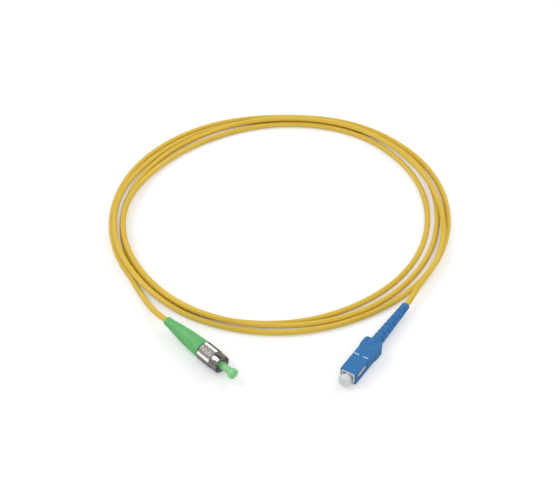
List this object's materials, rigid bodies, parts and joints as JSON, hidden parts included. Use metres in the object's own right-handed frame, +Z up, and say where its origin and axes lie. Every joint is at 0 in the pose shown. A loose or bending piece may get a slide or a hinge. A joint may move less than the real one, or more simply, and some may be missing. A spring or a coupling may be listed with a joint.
{
  "type": "fiber optic patch cord",
  "caption": "Simplex fibre patch cord in a loose coil: angled screw-nut plug with green boot and push-pull plug with blue grip, both with dust caps.",
  "frame": {"origin": "on the surface that the cord lies on, under the middle of the box round the two plugs (the free cable left out)", "axes": "+Z up from the surface; +X from the screw-nut plug towards the push-pull plug; +Y from the plugs towards the cable's coil"},
  "size_m": [0.1888, 0.222, 0.01],
  "materials": {
    "jacket_yellow": "smooth extruded jacket, semi-matt",
    "boot_green": "moulded elastomer, satin",
    "cap_green": "moulded polyethylene, slightly translucent",
    "boot_blue": "moulded elastomer, satin",
    "grip_blue": "moulded, semi-gloss",
    "frame_white": "moulded, semi-gloss",
    "cap_clear": "moulded polyethylene, translucent natural",
    "nickel": "nickel plated, bright",
    "steel": "turned stainless steel",
    "crimp_metal": "crimped plated copper alloy",
    "ceramic": "polished zirconia",
    "guide_tube": "soft clear-white tube",
    "fibre_buffer": "tight buffer",
    "aramid": "folded aramid yarn"
  },
  "bodies": {
    "cord": {"fc_lead": "jacket_yellow", "cord_coil": "jacket_yellow", "sc_lead": "jacket_yellow", "fc_barrel": "nickel", "fc_rear_body": "nickel", "fc_guide_tube": "guide_tube", "fc_aramid_yarn": "aramid", "fc_crimp_sleeve": "crimp_metal", "fc_boot": "boot_green", "fc_spring": "steel", "sc_plug_frame": "frame_white", "sc_rear_body": "steel", "sc_guide_tube": "guide_tube", "sc_aramid_yarn": "aramid", "sc_crimp_sleeve": "crimp_metal", "sc_boot": "boot_blue", "sc_spring": "steel"},
    "fc_ring": {"fc_nut_retaining_ring": "steel"},
    "fc_nut": {"fc_coupling_nut": "nickel"},
    "fc_ferrule_set": {"fc_ferrule": "ceramic", "fc_ferrule_holder": "nickel", "fc_buffered_fibre": "fibre_buffer"},
    "fc_cap": {"fc_dust_cap": "cap_green"},
    "sc_grip_shell": {"sc_grip": "grip_blue"},
    "sc_ferrule_set": {"sc_ferrule": "ceramic", "sc_ferrule_holder": "nickel", "sc_buffered_fibre": "fibre_buffer"},
    "sc_cap": {"sc_dust_cap": "cap_clear"}
  },
  "joints": [
    {"name": "fc_nut_slide", "type": "slide", "parent": "cord", "child": "fc_ring", "axis": [0.682, -0.7314, 0], "range_m": [0, 0.0012]},
    {"name": "fc_nut_spin", "type": "hinge", "parent": "fc_ring", "child": "fc_nut", "pos_m": [-0.03717, -0.01078, 0.005], "axis": [0.682, -0.7314, 0], "continuous": true},
    {"name": "fc_ferrule_press", "type": "slide", "parent": "cord", "child": "fc_ferrule_set", "axis": [-0.682, 0.7314, 0], "range_m": [0, 0.001], "stiffness_N_per_m": 1000, "deforming": ["fc_spring"]},
    {"name": "fc_cap_pull", "type": "slide", "parent": "fc_ferrule_set", "child": "fc_cap", "axis": [0.682, -0.7314, 0], "range_m": [0, 0.012]},
    {"name": "sc_grip_slide", "type": "slide", "parent": "cord", "child": "sc_grip_shell", "axis": [0.5358, 0.8443, 0], "range_m": [0, 0.0016]},
    {"name": "sc_ferrule_press", "type": "slide", "parent": "cord", "child": "sc_ferrule_set", "axis": [0.5358, 0.8443, 0], "range_m": [0, 0.001], "stiffness_N_per_m": 1000, "deforming": ["sc_spring"]},
    {"name": "sc_cap_pull", "type": "slide", "parent": "sc_ferrule_set", "child": "sc_cap", "axis": [-0.5358, -0.8443, 0], "range_m": [0, 0.009]}
  ]
}
